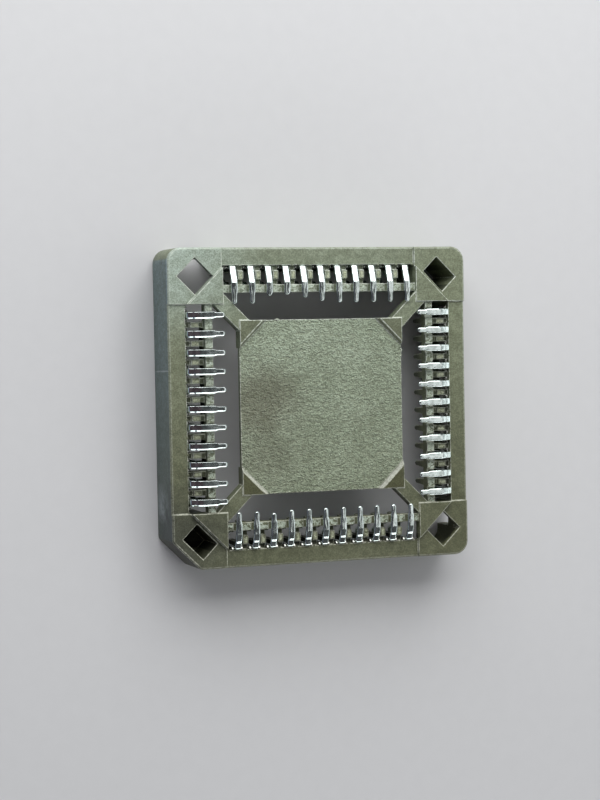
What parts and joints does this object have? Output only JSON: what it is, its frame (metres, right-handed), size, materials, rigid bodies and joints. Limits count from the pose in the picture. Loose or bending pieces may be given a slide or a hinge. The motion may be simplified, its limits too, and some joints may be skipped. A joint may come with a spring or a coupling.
{
  "type": "chip carrier socket",
  "caption": "Surface-mount socket for a square leaded chip carrier: an open well with sprung contacts on all sides, and solder tails on the slotted base.",
  "frame": {"origin": "middle of the open rim that the socket lies on", "axes": "+Z points away from the well, out of the solder side; the index corner is at -X -Y; the side walls run along X and Y"},
  "size_m": [0.022, 0.022, 0.0043],
  "materials": {
    "moulding": "spark-eroded matt moulding",
    "contact_metal": "tin plated, satin"
  },
  "bodies": {
    "root": {"housing": "moulding", "contact_01": "contact_metal", "contact_02": "contact_metal", "contact_03": "contact_metal", "contact_04": "contact_metal", "contact_05": "contact_metal", "contact_06": "contact_metal", "contact_07": "contact_metal", "contact_08": "contact_metal", "contact_09": "contact_metal", "contact_10": "contact_metal", "contact_11": "contact_metal", "contact_12": "contact_metal", "contact_13": "contact_metal", "contact_14": "contact_metal", "contact_15": "contact_metal", "contact_16": "contact_metal", "contact_17": "contact_metal", "contact_18": "contact_metal", "contact_19": "contact_metal", "contact_20": "contact_metal", "contact_21": "contact_metal", "contact_22": "contact_metal", "contact_23": "contact_metal", "contact_24": "contact_metal", "contact_25": "contact_metal", "contact_26": "contact_metal", "contact_27": "contact_metal", "contact_28": "contact_metal", "contact_29": "contact_metal", "contact_30": "contact_metal", "contact_31": "contact_metal", "contact_32": "contact_metal", "contact_33": "contact_metal", "contact_34": "contact_metal", "contact_35": "contact_metal", "contact_36": "contact_metal", "contact_37": "contact_metal", "contact_38": "contact_metal", "contact_39": "contact_metal", "contact_40": "contact_metal", "contact_41": "contact_metal", "contact_42": "contact_metal", "contact_43": "contact_metal", "contact_44": "contact_metal"}
  },
  "joints": []
}
